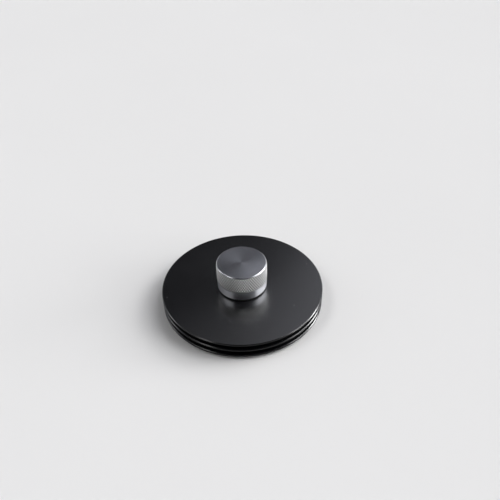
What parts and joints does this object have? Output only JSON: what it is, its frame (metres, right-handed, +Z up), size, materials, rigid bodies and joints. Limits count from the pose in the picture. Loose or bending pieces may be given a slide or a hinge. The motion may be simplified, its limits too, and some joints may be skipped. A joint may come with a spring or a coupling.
{
  "type": "record clamp",
  "caption": "Flat round clamp for a record player: a stack of thin black discs under a knurled silver knob, with a spindle bore and a soft pad for the record's label.",
  "frame": {"origin": "centre of the pad's lower face, on the spindle's axis", "axes": "+Z up along the spindle's axis, from the record towards the knob"},
  "size_m": [0.1, 0.1, 0.0303],
  "materials": {
    "knob_aluminium": "fine turned, clear anodised",
    "disc_black": "turned, satin black anodised",
    "washer_rubber": "matte",
    "spacer_black": "turned, matte",
    "bush_brass": "turned",
    "pad_rubber": "fine grained, matte"
  },
  "bodies": {
    "root": {"knob": "knob_aluminium", "knob_washer": "washer_rubber", "top_disc": "disc_black", "upper_spacer": "spacer_black", "middle_disc": "disc_black", "lower_spacer": "spacer_black", "lower_disc": "disc_black", "spindle_bush": "bush_brass", "record_pad": "pad_rubber"}
  },
  "joints": []
}
